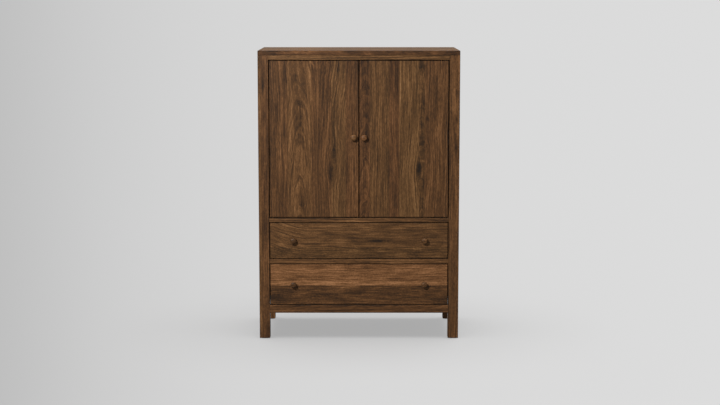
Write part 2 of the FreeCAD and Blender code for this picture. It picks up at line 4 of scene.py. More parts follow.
import bmesh
import bpy
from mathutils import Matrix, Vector


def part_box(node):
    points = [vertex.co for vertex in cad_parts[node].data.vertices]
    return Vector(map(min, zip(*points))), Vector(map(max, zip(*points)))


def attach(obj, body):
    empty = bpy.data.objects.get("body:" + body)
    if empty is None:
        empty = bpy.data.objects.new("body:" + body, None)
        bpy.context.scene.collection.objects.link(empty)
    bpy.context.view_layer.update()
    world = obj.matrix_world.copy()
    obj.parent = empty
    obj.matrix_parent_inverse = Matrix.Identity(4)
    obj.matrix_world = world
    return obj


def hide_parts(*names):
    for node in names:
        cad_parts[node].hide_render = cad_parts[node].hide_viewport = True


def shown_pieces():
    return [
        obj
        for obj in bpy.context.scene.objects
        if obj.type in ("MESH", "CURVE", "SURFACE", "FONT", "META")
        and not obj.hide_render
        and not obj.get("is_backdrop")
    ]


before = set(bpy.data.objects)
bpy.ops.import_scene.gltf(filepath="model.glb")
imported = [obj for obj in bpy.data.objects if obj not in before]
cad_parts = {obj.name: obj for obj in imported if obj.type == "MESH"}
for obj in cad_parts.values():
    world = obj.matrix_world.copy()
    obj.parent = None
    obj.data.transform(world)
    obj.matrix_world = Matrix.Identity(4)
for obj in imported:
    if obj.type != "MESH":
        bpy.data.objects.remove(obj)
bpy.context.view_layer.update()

# Looks of the television armoire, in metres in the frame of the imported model: +Z up, front towards -Y.

# Directions and repeated names
AXES = "xyz"
UP = (0, 0, 1)
DOWN = (0, 0, -1)
BACKWARDS = (0, 1, 0)
SIDES = (("left", -1), ("right", 1))
DRAWERS = ("upper", "lower")
SLIDE_MEMBERS = ("outer", "middle", "inner")

# Camera, fitted to the photograph
CAMERA_PLACE = (0.0055, -8.0336, 1.7479)
CAMERA_PITCH = math.radians(7.6435)
CAMERA_LENS = 77.43
CAMERA_SENSOR = 36.0

# Light: a soft lamp from the upper left in front for the armoire only, a lamp from above, and an even sky
KEY_PLACE = (-2.1, -4.0, 3.1)
KEY_AIM = (0.0, -0.25, 0.95)
KEY_SIZE = 0.5
KEY_POWER = 215.0
TOP_LAMP_STRENGTH = 2.42
TOP_LAMP_ANGLE = math.radians(60)
SKY_STRENGTH = 0.19
SKY_COLOUR = (1, 1, 1, 1)
BACKGROUND = (214, 214, 214)

# Floor: its grey by bearing, which is metres to the right per metre ahead of the photograph's viewpoint.
# Less than FLOOR_NEAREST ahead counts as that much. Own light is the share that no shadow darkens, and
# bounce is the share of its colour that lights the armoire.
FLOOR_REACH = 1000.0
FLOOR_BEARING = 0.60
FLOOR_SHADES = (
    (-0.60, 178),
    (-0.25, 189),
    (-0.17, 207),
    (-0.08, 216),
    (0.05, 219),
    (0.25, 222),
    (0.60, 226),
)
FLOOR_NEAREST = 3.0
FLOOR_OWN_LIGHT = 0.55
FLOOR_BOUNCE = 0.20

# Wood colours from dark to light, as positions along the tone scale and sRGB values
WALNUT = (
    (0.00, (29, 19, 11)),
    (0.25, (57, 38, 21)),
    (0.50, (89, 60, 34)),
    (0.75, (124, 87, 54)),
    (1.00, (162, 118, 79)),
)
MAPLE = (
    (0.00, (150, 116, 78)),
    (0.35, (190, 158, 116)),
    (0.65, (212, 184, 143)),
    (1.00, (228, 206, 170)),
)
GREEN_TINT = (0.95, 1.02, 0.98, 1)
RED_TINT = (1.06, 0.97, 0.98, 1)

# Noises of the grain: scale across, scale along, detail and roughness, and how much each field counts
GRAIN_NOISES = {
    "drift": (5.0, 4.0, 4.0, 0.68),
    "broad": (14.0, 3.0, 2.0, 0.55),
    "streaks": (50.0, 3.5, 3.0, 0.55),
    "lines": (130.0, 4.0, 4.0, 0.60),
    "fibres": (180.0, 40.0, 4.0, 0.70),
    "pores": (1500.0, 60.0, 1.0, 0.55),
}
SHORTENED_NOISES = ("streaks", "lines", "fibres")
GRAIN_WEIGHTS = {"rings": 0.95, "broad": 0.45, "streaks": 0.42, "lines": 0.95, "fibres": 0.75}
NOISE_MIDDLE = 0.5
SEED_SHIFT = 40.0
STAVE_SEED_STEP = 0.618
WANDER = 0.060
STREAK_WANDER = 0.7

# Rings of the tree
RING_PITCH = 0.0050
RING_DETAIL = 4.0
RING_ROUGHNESS = 0.80
PITH_BEYOND = 0.25
HEART_TILT = 0.20
HEART_REACH = 3.0

# Shades and surface of wood
KNOT_SHADE = 0.45
# Painted shade along every edge of a board, in patches, deepening the dark gap lines between parts:
# strength, width, fully dark share of the width, and patches
PAINTED_GAP_SHADE = 0.18
PAINTED_GAP_SHADE_WIDTH = 0.003
PAINTED_GAP_SHADE_CORE = 0.3
PAINTED_GAP_SHADE_PATCHES = (0.0, 0.6)
PORE_SHADE = 0.16
PORE_EDGES = (0.60, 0.68)
PORE_ROUGHNESS = 0.12
END_GRAIN_EDGES = (0.75, 0.95)
END_GRAIN_SHADE = 0.45
FIBRE_RELIEF = 0.6
WOOD_GLOSS_SPREAD = 0.22
WOOD_SPECULAR = 0.15
WOOD_BUMP = {"Strength": 0.18, "Distance": 0.0004}
WALNUT_ROUGHNESS = 0.46
TOP_ROUGHNESS = 0.62
KNOB_ROUGHNESS = 0.40
MAPLE_ROUGHNESS = 0.50

# Metals: material, colour, tarnished colour, roughness, and scale of the drawn lines along each axis
METALS = {
    "brass": ("dark_brass", (84, 66, 46), (52, 40, 29), 0.38, (40.0, 900.0, 900.0)),
    "steel": ("black_zinc", (60, 60, 62), (42, 42, 44), 0.40, (900.0, 40.0, 900.0)),
}
METAL_LINE_DETAIL = 4.0
METAL_LINE_ROUGHNESS = 0.6
METAL_LINE_EDGES = (0.35, 0.8)
TARNISH_SCALE = 60.0
TARNISH_DETAIL = 3.0
TARNISH_EDGES = (0.35, 0.75)
METAL_GLOSS_SPREAD = 0.25
METAL_GLOSS_DROP = 0.12
METAL_BUMP = {"Strength": 0.08, "Distance": 0.0002}

# Plastics: colour, scuffed colour and roughness
PLASTICS = {
    "nylon": ((58, 50, 44), (92, 82, 72), 0.55),
    "catch_plastic": ((66, 46, 34), (96, 74, 58), 0.45),
}
MOULD_SCALE = 900.0
MOULD_DETAIL = 2.0
SCUFF_SCALE = 120.0
SCUFF_DETAIL = 5.0
SCUFF_EDGES = (0.5, 0.75)
SCUFF_GLOSS_SPREAD = 0.3
PLASTIC_BUMP = {"Strength": 0.15, "Distance": 0.0002}

# Boards of the fronts, placed as the photograph shows them. Board says what staves and knots hold.
FAR = 0.6
LEFT_DOOR_STAVES = (
    (-0.460, 0.43, 0.60, -FAR),
    (-0.361, 0.52, 0.40, -0.300),
    (-0.240, 0.44, 0.60, -0.400),
    (-0.140, 0.48, 0.25, -0.020),
    (-0.068, 0.45, 0.70, -FAR),
)
LEFT_DOOR_KNOTS = (
    (-0.126, 0.965, 0.024, 0.090, 0.9, 0.5),
    (-0.142, 0.850, 0.034, 0.120, 0.8, 0.5),
    (-0.130, 0.920, 0.100, 0.300, 0.0, 0.9),
    (-0.220, 1.500, 0.240, 0.420, 0.0, 0.95),
    (-0.136, 1.270, 0.014, 0.160, -0.6, 0.0),
    (-0.373, 1.365, 0.014, 0.090, 0.6, 0.0),
    (-0.375, 1.050, 0.016, 0.120, 0.6, 0.0),
    (-0.105, 1.375, 0.014, 0.070, 0.7, 0.4),
)
RIGHT_DOOR_STAVES = (
    (0.000, 0.38, 0.80, 0.030),
    (0.053, 0.50, 0.30, FAR),
    (0.152, 0.42, 0.80, FAR),
    (0.202, 0.53, 0.15, FAR),
    (0.302, 0.45, 0.30, 0.315),
    (0.331, 0.45, 0.60, FAR),
)
RIGHT_DOOR_KNOTS = (
    (0.302, 0.880, 0.026, 0.090, 1.1, 0.5),
    (0.310, 0.840, 0.024, 0.200, 0.5, 0.3),
    (0.305, 0.870, 0.110, 0.300, 0.0, 0.9),
    (0.326, 0.980, 0.050, 0.100, 0.4, 0.6),
    (0.328, 1.208, 0.018, 0.080, 0.9, 0.6),
    (0.207, 1.220, 0.011, 0.400, -0.9, 0.0),
    (0.250, 1.230, 0.009, 0.300, -0.6, 0.0),
    (0.030, 1.370, 0.026, 0.090, 0.5, 0.2),
    (0.314, 1.385, 0.030, 0.060, 0.6, 0.3),
    (0.345, 1.130, 0.016, 0.030, 0.7, 0.5),
)
UPPER_DRAWER_STAVES = (
    (0.417, 0.43, 0.20, 2 * FAR),
    (0.476, 0.50, 0.35, 2 * FAR),
)
UPPER_DRAWER_KNOTS = (
    (0.507, 0.090, 0.018, 0.130, 1.2, 0.6),
    (0.505, 0.160, 0.030, 0.300, 0.3, 0.4),
    (0.420, -0.480, 0.420, 0.260, 0.0, 0.95),
    (0.500, -0.200, 0.010, 0.260, -0.5, 0.0),
    (0.491, -0.393, 0.014, 0.040, -0.8, 0.0),
)
LOWER_DRAWER_STAVES = (
    (0.178, 0.41, 0.60, FAR),
    (0.276, 0.78, 0.75, FAR),
    (0.298, 0.67, 0.80, FAR),
)
LOWER_DRAWER_KNOTS = ((0.225, -0.400, 0.060, 0.130, 0.5, 0.8),)
LEFT_POST_STAVES = (
    (-0.508, 0.53, 0.40, -FAR),
    (-0.494, 0.43, 0.70, -FAR),
)
LEFT_POST_KNOTS = (
    (-0.482, 1.295, 0.022, 0.060, 0.8, 0.5),
    (-0.502, 1.220, 0.008, 0.080, -0.8, 0.0),
)
RIGHT_POST_STAVES = (
    (0.455, 0.43, 0.50, FAR),
    (0.472, 0.49, 0.60, FAR),
)
RIGHT_POST_KNOTS = (
    (0.494, 1.255, 0.016, 0.035, 0.8, 0.6),
    (0.490, 1.125, 0.018, 0.050, 0.8, 0.6),
    (0.492, 0.985, 0.014, 0.050, 0.6, 0.5),
)
# The top's stave tones are its own figure, raised a little as painted light for its brightly lit upper
# face
TOP_STAVES = (
    (-0.260, 0.49, 0.80, 0.5),
    (-0.200, 0.54, 0.10, -0.15),
    (-0.080, 0.57, 0.05, 0.02),
    (0.050, 0.53, 0.15, FAR),
    (0.160, 0.56, 0.05, 0.20),
)
TOP_KNOTS = (
    (-0.254, -0.430, 0.014, 0.170, 0.6, 0.0),
    (-0.254, 0.465, 0.014, 0.130, 0.7, 0.0),
)

# Front boards: grain along and across, staves, knots, figure, shortness and seed
NARROW_FIGURE = 0.15
TOP_FIGURE = 0.4
PANEL_FIGURE = 0.5
TOP_SHORTNESS = 1.0
DOOR_SHORTNESS = 1.2
POST_SHORTNESS = 1.8
DRAWER_SHORTNESS = 3.0
FRONT_BOARDS = {
    "left_door": (
        "z", "x", LEFT_DOOR_STAVES, LEFT_DOOR_KNOTS, PANEL_FIGURE, DOOR_SHORTNESS, 0.285
    ),
    "right_door": (
        "z", "x", RIGHT_DOOR_STAVES, RIGHT_DOOR_KNOTS, PANEL_FIGURE, DOOR_SHORTNESS, 0.87
    ),
    "upper_drawer_front": (
        "x", "z", UPPER_DRAWER_STAVES, UPPER_DRAWER_KNOTS, PANEL_FIGURE, DRAWER_SHORTNESS, 0.55
    ),
    "lower_drawer_front": (
        "x", "z", LOWER_DRAWER_STAVES, LOWER_DRAWER_KNOTS, PANEL_FIGURE, DRAWER_SHORTNESS, 0.76
    ),
    "front_left_post": (
        "z", "x", LEFT_POST_STAVES, LEFT_POST_KNOTS, NARROW_FIGURE, POST_SHORTNESS, 0.97
    ),
    "front_right_post": (
        "z", "x", RIGHT_POST_STAVES, RIGHT_POST_KNOTS, NARROW_FIGURE, POST_SHORTNESS, 0.18
    ),
    "top_panel": (
        "x", "y", TOP_STAVES, TOP_KNOTS, TOP_FIGURE, TOP_SHORTNESS, 0.39
    ),
}

# Plain walnut boards: grain along and across, number of staves and tone
PLAIN_BOARDS = {
    # The rear left post's tone is raised as painted light, for light that reaches it under the case
    "rear_left_post": ("z", "x", 2, 0.66),
    "rear_right_post": ("z", "x", 2, 0.47),
    "top_front_rail": ("x", "z", 1, 0.50),
    "door_rail": ("x", "z", 1, 0.47),
    "drawer_rail": ("x", "z", 1, 0.57),
    "bottom_front_rail": ("x", "z", 1, 0.43),
    "left_side_panel": ("z", "y", 4, 0.49),
    "right_side_panel": ("z", "y", 4, 0.47),
    "left_top_side_rail": ("y", "z", 1, 0.48),
    "right_top_side_rail": ("y", "z", 1, 0.50),
    "left_bottom_side_rail": ("y", "z", 1, 0.46),
    "right_bottom_side_rail": ("y", "z", 1, 0.48),
    "rear_top_rail": ("x", "z", 1, 0.47),
    "rear_middle_rail": ("x", "z", 1, 0.49),
    "rear_bottom_rail": ("x", "z", 1, 0.45),
    "upper_back_panel": ("z", "x", 6, 0.50),
    "lower_back_panel": ("z", "x", 6, 0.50),
    "compartment_floor": ("x", "y", 4, 0.48),
    "shelf": ("x", "y", 4, 0.50),
    "shelf_cleats": ("y", "z", 1, 0.47),
}
PLAIN_SEED_STEP = 0.07
MOST_NARROW_STAVES = 2

# Maple boards of each drawer: grain along and across
MAPLE_BOARDS = {
    "drawer_left_side": ("y", "z"),
    "drawer_right_side": ("y", "z"),
    "drawer_box_front": ("x", "z"),
    "drawer_back": ("x", "z"),
    "drawer_bottom": ("x", "y"),
    "left_slide_cleat": ("y", "z"),
    "right_slide_cleat": ("y", "z"),
}
MAPLE_TONE = 0.55
MAPLE_CONTRAST = 0.8
MAPLE_SEED_STEP = 0.09
MAPLE_DRAWER_SEEDS = 10
FLOOR_CLEATS_SEED = 31
WIDEST_SINGLE_STAVE = 0.1

# How the staves of plain boards vary: start and heart in widths of a stave, tone and redness
STAVE_JITTER = 0.25
STAVE_HEARTS = (-1.2, 2.2)
STAVE_TONE_JITTER = 0.07
STAVE_REDNESS = 0.5
STAVE_REDNESS_JITTER = 0.3

# Turned knobs: the body they move with, the board that carries them, tone and redness. A node wider than
# PAIR_LEAST_RADII of its knobs' radii holds a pair.
KNOBS = {
    "left_door_knob": ("left_door", "left_door", 0.48, 0.40),
    "right_door_knob": ("right_door", "right_door", 0.60, 0.85),
    "upper_drawer_knobs": ("upper_drawer", "upper_drawer_front", 0.43, 0.45),
    "lower_drawer_knobs": ("lower_drawer", "lower_drawer_front", 0.45, 0.50),
}
KNOB_RIM_HEIGHT = 0.014
KNOB_NECK_RADIUS = 0.0075
KNOB_NECK_HEIGHT = 0.007
KNOB_TENON_RADIUS = 0.005
KNOB_FULLNESS = 2.7
KNOB_SIDES = 48
KNOB_CURVE_STEPS = 14
KNOB_FIRST_SEED = 0.4
KNOB_SEED_STEP = 0.31
PAIR_LEAST_RADII = 3

# Screw heads, with the cross, its bed and the brim as shares of the head's radius or rise
SCREW_RADIUS = 0.0034
SCREW_RISE = 0.0009
SCREW_SIDES = 16
SCREW_BRIM = 0.86
CROSS_ARM = 0.58
CROSS_HALF_WIDTH = 0.13
CROSS_BED = 0.7
CROSS_BED_LEVEL = 0.25

# Places of screws
BACK_SCREW_INSET = 0.006
BACK_SCREWS_ACROSS = 6
BACK_SCREWS_UP = 5
HINGE_SCREW_INSETS = (0.026, 0.050)
CATCH_SCREW_INSETS = (0.007, 0.037)
FRONT_SCREWS_ACROSS = 4
FRONT_SCREW_REACH = 0.85
FRONT_SCREW_LEVELS = (0.3, 0.75)
SLIDE_SCREWS = 3
SLIDE_SCREW_INSET = 0.03
SLIDE_SHEET = 0.0012


# Shader building

def linear(colour):
    """An sRGB colour from 0 to 255 as the linear RGBA that sockets take, by the standard's own curve."""
    def channel(value):
        share = value / 255
        return share / 12.92 if share <= 0.04045 else ((share + 0.055) / 1.055) ** 2.4
    return (*[channel(value) for value in colour], 1.0)


class Shader:
    """The node tree of a material or a world. Inputs take sockets or plain values."""

    # Sockets of the Mix node that carry colours
    MIX_SHARE, MIX_A, MIX_B, MIX_RESULT = 0, 6, 7, 2

    def __init__(self, owner):
        owner.use_nodes = True
        self.owner = owner
        self.tree = owner.node_tree
        self.tree.nodes.clear()

    def feed(self, socket, value):
        if isinstance(value, bpy.types.NodeSocket):
            self.tree.links.new(value, socket)
        else:
            socket.default_value = value

    def node(self, kind, inputs=None, **settings):
        made = self.tree.nodes.new("ShaderNode" + kind)
        for key, value in settings.items():
            setattr(made, key, value)
        for key, value in (inputs or {}).items():
            self.feed(made.inputs[key], value)
        return made

    def math(self, operation, *values):
        made = self.node("Math", operation=operation)
        for socket, value in zip(made.inputs, values):
            self.feed(socket, value)
        return made.outputs[0]

    def add(self, *values):
        total = values[0]
        for value in values[1:]:
            total = self.math("ADD", total, value)
        return total

    def minus(self, a, b):
        return self.math("SUBTRACT", a, b)

    def times(self, a, b):
        return self.math("MULTIPLY", a, b)

    def scaled(self, value, factor, shift):
        return self.math("MULTIPLY_ADD", value, factor, shift)

    def vector(self, x, y, z):
        return self.node("CombineXYZ", {"X": x, "Y": y, "Z": z}).outputs[0]

    def parts(self, vector):
        return self.node("SeparateXYZ", {"Vector": vector}).outputs

    def channels(self, colour):
        return self.node("SeparateColor", {"Color": colour}).outputs

    def noise(self, place, detail, roughness=0.5, scale=1.0):
        return self.node(
            "TexNoise", {"Vector": place, "Scale": scale, "Detail": detail, "Roughness": roughness}
        ).outputs

    def ball(self, place):
        """1 at the origin, falling smoothly to 0 at a distance of 1."""
        made = self.node("TexGradient", {"Vector": place}, gradient_type="QUADRATIC_SPHERE")
        return made.outputs["Fac"]

    def spread(self, value, low, high):
        """Value moved from the range low to high onto 0 to 1, and kept there."""
        made = self.node("MapRange", {"Value": value, "From Min": low, "From Max": high})
        return made.outputs[0]

    def mix(self, share, a, b, blend="MIX"):
        made = self.node("Mix", data_type="RGBA", blend_type=blend)
        for index, value in ((self.MIX_SHARE, share), (self.MIX_A, a), (self.MIX_B, b)):
            self.feed(made.inputs[index], value)
        return made.outputs[self.MIX_RESULT]

    def ramp(self, value, stops, interpolation="LINEAR"):
        made = self.node("ValToRGB", {"Fac": value})
        made.color_ramp.interpolation = interpolation
        elements = made.color_ramp.elements
        # New stops start in the middle and get their own positions below
        while len(elements) < len(stops):
            elements.new(0.5)
        for element, (position, _) in zip(elements, stops):
            element.position = position
        for element, (_, colour) in zip(elements, stops):
            element.color = colour
        return made.outputs

    def shown(self):
        """1 for rays that show a surface in the picture or in a reflection, and 0 for rays that light."""
        rays = self.node("LightPath").outputs
        return self.math("MAXIMUM", rays["Is Camera Ray"], rays["Is Glossy Ray"])

    def end(self, last, output):
        self.tree.links.new(last.outputs[0], self.node(output).inputs["Surface"])
        return self.owner

    def surface(self, inputs):
        """Ends a material's tree in a principled surface with the given inputs."""
        return self.end(self.node("BsdfPrincipled", inputs), "OutputMaterial")


# Wood

class Board:
    """How a board is cut: its box, its grain direction, its glued staves and its knots.

    A stave is (start across the grain, tone, redness, heart), all staves in order. Heart is where the
    middle of the tree lies across the grain: near the stave it gives arched grain, far off straight grain.
    A knot is (across, along, half width, half length, shade, spread). Spread is how far the grain parts
    round it. A knot without shade only bends the grain, and one with a negative shade is a pale streak.
    Figure is how much the grain wanders and how soon its arches close. Shortness is how much shorter than
    usual the streaks are.
    """

    def __init__(
        self, along, across, box, staves, knots=(), seed=0.0, contrast=1.0, figure=1.0, shortness=1.0
    ):
        self.along = AXES.index(along)
        self.across = AXES.index(across)
        self.through = next(i for i in range(len(AXES)) if i not in (self.along, self.across))
        self.box = box
        self.span = (box[0][self.across], box[1][self.across])
        self.staves = staves
        self.knots = knots
        self.seed = seed
        self.contrast = contrast
        self.figure = figure
        self.shortness = shortness


def even_staves(span, count, tone, seed):
    """Staves of about equal width whose tones and grain vary about the given ones."""
    draw = random.Random(seed)
    width = (span[1] - span[0]) / count
    staves = []
    for index in range(count):
        shift = draw.uniform(-STAVE_JITTER, STAVE_JITTER) if index else 0
        start = span[0] + (index + shift) * width
        heart = start + draw.uniform(*STAVE_HEARTS) * width
        stave_tone = tone + draw.uniform(-STAVE_TONE_JITTER, STAVE_TONE_JITTER)
        redness = STAVE_REDNESS + draw.uniform(-STAVE_REDNESS_JITTER, STAVE_REDNESS_JITTER)
        staves.append((start, stave_tone, redness, heart))
    return staves


def stave_facts(shader, board, across):
    """Tone, redness, heart and seed of the stave at a point, as sockets."""
    low, high = board.span
    length = high - low
    stops = []
    for index, (start, tone, redness, heart) in enumerate(board.staves):
        heart_share = ((heart - low) / length + HEART_REACH) / (1 + 2 * HEART_REACH)
        heart_share = min(max(heart_share, 0.0), 1.0)
        seed = (board.seed + index * STAVE_SEED_STEP) % 1
        stops.append((max(0.0, (start - low) / length), (tone, redness, heart_share, seed)))
    if len(stops) == 1:
        stops.append((1.0, stops[0][1]))
    facts = shader.ramp(shader.spread(across, low, high), stops, "CONSTANT")
    tone, redness, heart_share = shader.channels(facts["Color"])
    heart_scale = length * (1 + 2 * HEART_REACH)
    heart = shader.scaled(heart_share, heart_scale, low - HEART_REACH * length)
    return tone, redness, heart, facts["Alpha"]


def knot_fields(shader, board, across, along):
    """The shade of the board's knots at a point, and its place across the grain parted round them."""
    shade = 0.0
    parted = across
    for knot_across, knot_along, half_width, half_length, depth, spread in board.knots:
        offset = shader.minus(across, knot_across)
        x = shader.times(offset, 1 / half_width)
        y = shader.times(shader.minus(along, knot_along), 1 / half_length)
        ball = shader.ball(shader.vector(x, y, 0.0))
        shade = shader.scaled(ball, depth, shade)
        parted = shader.scaled(shader.times(offset, ball), -spread, parted)
    return shade, parted


class Grain:
    """The grain of a board at a point, as sockets of its shader."""

    def __init__(self, shader, board, place):
        self.shader = shader
        self.board = board
        self.across = place[board.across]
        self.along = place[board.along]
        self.through = place[board.through]
        self.tone, self.redness, self.heart, seed = stave_facts(shader, board, self.across)
        self.shift = shader.times(seed, SEED_SHIFT)
        self.knots, self.parted = knot_fields(shader, board, self.across, self.along)
        drift = shader.channels(self.noise("drift", self.across)["Color"])
        wander = WANDER * board.figure
        self.sway = shader.times(shader.minus(drift[0], NOISE_MIDDLE), wander)
        self.heave = shader.times(shader.minus(drift[1], NOISE_MIDDLE), wander)
        self.bent = shader.scaled(self.sway, STREAK_WANDER, self.parted)

    def noise(self, name, side):
        """One of the grain's noises, with side as the place across the grain."""
        across_scale, along_scale, detail, roughness = GRAIN_NOISES[name]
        if name in SHORTENED_NOISES:
            along_scale *= self.board.shortness
        x = self.shader.scaled(side, across_scale, self.shift)
        y = self.shader.scaled(self.through, across_scale, self.shift)
        z = self.shader.scaled(self.along, along_scale, self.shift)
        return self.shader.noise(self.shader.vector(x, y, z), detail, roughness)

    def field(self, name):
        """One of the grain's noises, bent with the grain."""
        return self.noise(name, self.bent)[0]

    def rings(self):
        """Rings of a tree whose middle leans away from the board and starts beyond the board's end."""
        shader, board = self.shader, self.board
        pith = board.box[0][board.along] - PITH_BEYOND
        depth = shader.minus(self.through, board.box[0][board.through])
        lean = shader.times(shader.minus(self.along, pith), HEART_TILT * board.figure)
        x = shader.add(shader.minus(self.parted, self.heart), self.sway)
        y = shader.add(lean, self.heave, depth)
        radius = shader.math("SQRT", shader.add(shader.times(x, x), shader.times(y, y)))
        place = shader.scaled(radius, 1 / RING_PITCH, self.shift)
        settings = {"W": place, "Scale": 1.0, "Detail": RING_DETAIL, "Roughness": RING_ROUGHNESS}
        return shader.node("TexNoise", settings, noise_dimensions="1D").outputs[0]


def arris_distance(shader, board, place):
    """How far a point on the board is from the nearest edge of the board's box."""
    gaps = []
    for part, low, high in zip(place, *board.box):
        gaps.append(shader.math("MINIMUM", shader.minus(part, low), shader.minus(high, part)))
    least = shader.math("MINIMUM", gaps[0], gaps[1])
    most = shader.math("MAXIMUM", gaps[0], gaps[1])
    return shader.math("MAXIMUM", least, shader.math("MINIMUM", most, gaps[2]))


def wood_level(shader, grain, fields, painted_gap_shade_mask):
    """Where the wood lies along its palette: stave tone, grain, knots, pores and painted shade at the
    edges.
    """
    level = grain.tone
    for name, weight in GRAIN_WEIGHTS.items():
        change = shader.times(shader.minus(fields[name], NOISE_MIDDLE), weight * grain.board.contrast)
        level = shader.add(level, change)
    # Knots and pores are the wood's own marks; the edge mask is painted shade beside the gaps
    for shade, weight in ((grain.knots, KNOT_SHADE), (painted_gap_shade_mask, PAINTED_GAP_SHADE), (fields["pores"], PORE_SHADE)):
        level = shader.scaled(shade, -weight, level)
    return level


def wood_colour(shader, level, redness, end_grain, palette):
    """The palette's colour at a level, tinted by redness and darker on end grain."""
    stops = [(position, linear(colour)) for position, colour in palette]
    colour = shader.ramp(level, stops)["Color"]
    greener, redder = [shader.mix(1.0, colour, tint, "MULTIPLY") for tint in (GREEN_TINT, RED_TINT)]
    colour = shader.mix(redness, greener, redder)
    darkest = stops[0][1]
    return shader.mix(shader.times(end_grain, END_GRAIN_SHADE), colour, darkest)


def wood(name, board, palette, roughness):
    """Oiled solid wood: tree rings cut by the board, streaks, pores, painted shade at the edges and end
    grain.
    """
    shader = Shader(bpy.data.materials.new(name))
    coordinates = shader.node("TexCoord").outputs
    place = shader.parts(coordinates["Object"])
    normal = shader.parts(coordinates["Normal"])
    grain = Grain(shader, board, place)
    fields = {field: grain.field(field) for field in ("broad", "streaks", "lines", "fibres")}
    fields["rings"] = grain.rings()
    fields["pores"] = shader.spread(grain.field("pores"), *PORE_EDGES)

    # Painted shade along the board's edges, broken into patches, deepening the gaps between parts
    painted_gap_shade_mask = shader.spread(arris_distance(shader, board, place), PAINTED_GAP_SHADE_WIDTH, PAINTED_GAP_SHADE_CORE * PAINTED_GAP_SHADE_WIDTH)
    painted_gap_shade_mask = shader.times(painted_gap_shade_mask, shader.spread(fields["broad"], *PAINTED_GAP_SHADE_PATCHES))
    end_grain = shader.spread(shader.math("ABSOLUTE", normal[board.along]), *END_GRAIN_EDGES)
    level = wood_level(shader, grain, fields, painted_gap_shade_mask)
    colour = wood_colour(shader, level, grain.redness, end_grain, palette)

    gloss = shader.scaled(fields["streaks"], WOOD_GLOSS_SPREAD, roughness - WOOD_GLOSS_SPREAD / 2)
    gloss = shader.add(gloss, shader.times(fields["pores"], PORE_ROUGHNESS))
    height = shader.minus(shader.times(fields["fibres"], FIBRE_RELIEF), fields["pores"])
    bump = shader.node("Bump", {"Height": height, **WOOD_BUMP}).outputs[0]
    return shader.surface(
        {"Base Color": colour, "Roughness": gloss, "Normal": bump, "Specular IOR Level": WOOD_SPECULAR}
    )


def walnut(name, board, roughness=WALNUT_ROUGHNESS):
    return wood("walnut_" + name, board, WALNUT, roughness)


def maple(name, board):
    return wood("maple_" + name, board, MAPLE, MAPLE_ROUGHNESS)


# Metals and plastics

def metal(name, colour, tarnished, roughness, line_scales):
    """Rolled or plated metal with faint drawn lines and tarnish."""
    shader = Shader(bpy.data.materials.new(name))
    place = shader.node("TexCoord").outputs["Object"]
    stretched = shader.node("Mapping", {"Vector": place, "Scale": line_scales}).outputs[0]
    lines = shader.noise(stretched, METAL_LINE_DETAIL, METAL_LINE_ROUGHNESS)[0]
    cloud = shader.noise(place, TARNISH_DETAIL, scale=TARNISH_SCALE)[0]
    shade = linear(colour)
    for field, edges in ((cloud, TARNISH_EDGES), (lines, METAL_LINE_EDGES)):
        shade = shader.mix(shader.spread(field, *edges), shade, linear(tarnished))
    gloss = shader.scaled(lines, METAL_GLOSS_SPREAD, roughness - METAL_GLOSS_DROP)
    bump = shader.node("Bump", {"Height": lines, **METAL_BUMP}).outputs[0]
    return shader.surface({"Base Color": shade, "Metallic": 1.0, "Roughness": gloss, "Normal": bump})


def plastic(name, colour, scuffed, roughness):
    """Moulded plastic with a fine texture and scuffs."""
    shader = Shader(bpy.data.materials.new(name))
    place = shader.node("TexCoord").outputs["Object"]
    texture = shader.noise(place, MOULD_DETAIL, scale=MOULD_SCALE)[0]
    scuffs = shader.noise(place, SCUFF_DETAIL, scale=SCUFF_SCALE)[0]
    shade = shader.mix(shader.spread(scuffs, *SCUFF_EDGES), linear(colour), linear(scuffed))
    gloss = shader.scaled(scuffs, SCUFF_GLOSS_SPREAD, roughness - SCUFF_GLOSS_SPREAD / 2)
    bump = shader.node("Bump", {"Height": texture, **PLASTIC_BUMP}).outputs[0]
    return shader.surface({"Base Color": shade, "Roughness": gloss, "Normal": bump})


def make_hardware():
    """The materials of hinges, slides, catches, glides and screws, by slot."""
    hardware = {slot: metal(*look) for slot, look in METALS.items()}
    hardware.update({slot: plastic(slot, *look) for slot, look in PLASTICS.items()})
    return hardware


# Finishes of the model's own pieces

def finish_node(node, material):
    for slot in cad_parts[node].material_slots:
        slot.material = material


def span_of(node, axis):
    low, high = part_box(node)
    index = AXES.index(axis)
    return low[index], high[index]


def finish_fronts():
    for node, (along, across, staves, knots, figure, shortness, seed) in FRONT_BOARDS.items():
        board = Board(
            along, across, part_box(node), staves, knots, seed=seed, figure=figure, shortness=shortness
        )
        roughness = TOP_ROUGHNESS if node == "top_panel" else WALNUT_ROUGHNESS
        finish_node(node, walnut(node, board, roughness))


def finish_plain_boards():
    """Walnut boards whose staves are not taken from the photograph one by one."""
    for index, (node, (along, across, count, tone)) in enumerate(PLAIN_BOARDS.items()):
        staves = even_staves(span_of(node, across), count, tone, index)
        figure = NARROW_FIGURE if count <= MOST_NARROW_STAVES else PANEL_FIGURE
        board = Board(along, across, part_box(node), staves, seed=PLAIN_SEED_STEP * index, figure=figure)
        finish_node(node, walnut(node, board))


def finish_maple_node(node, along, across, seed):
    span = span_of(node, across)
    count = 2 if span[1] - span[0] > WIDEST_SINGLE_STAVE else 1
    staves = even_staves(span, count, MAPLE_TONE, seed)
    board = Board(
        along, across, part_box(node), staves,
        seed=MAPLE_SEED_STEP * seed, contrast=MAPLE_CONTRAST, figure=NARROW_FIGURE,
    )
    finish_node(node, maple(node, board))


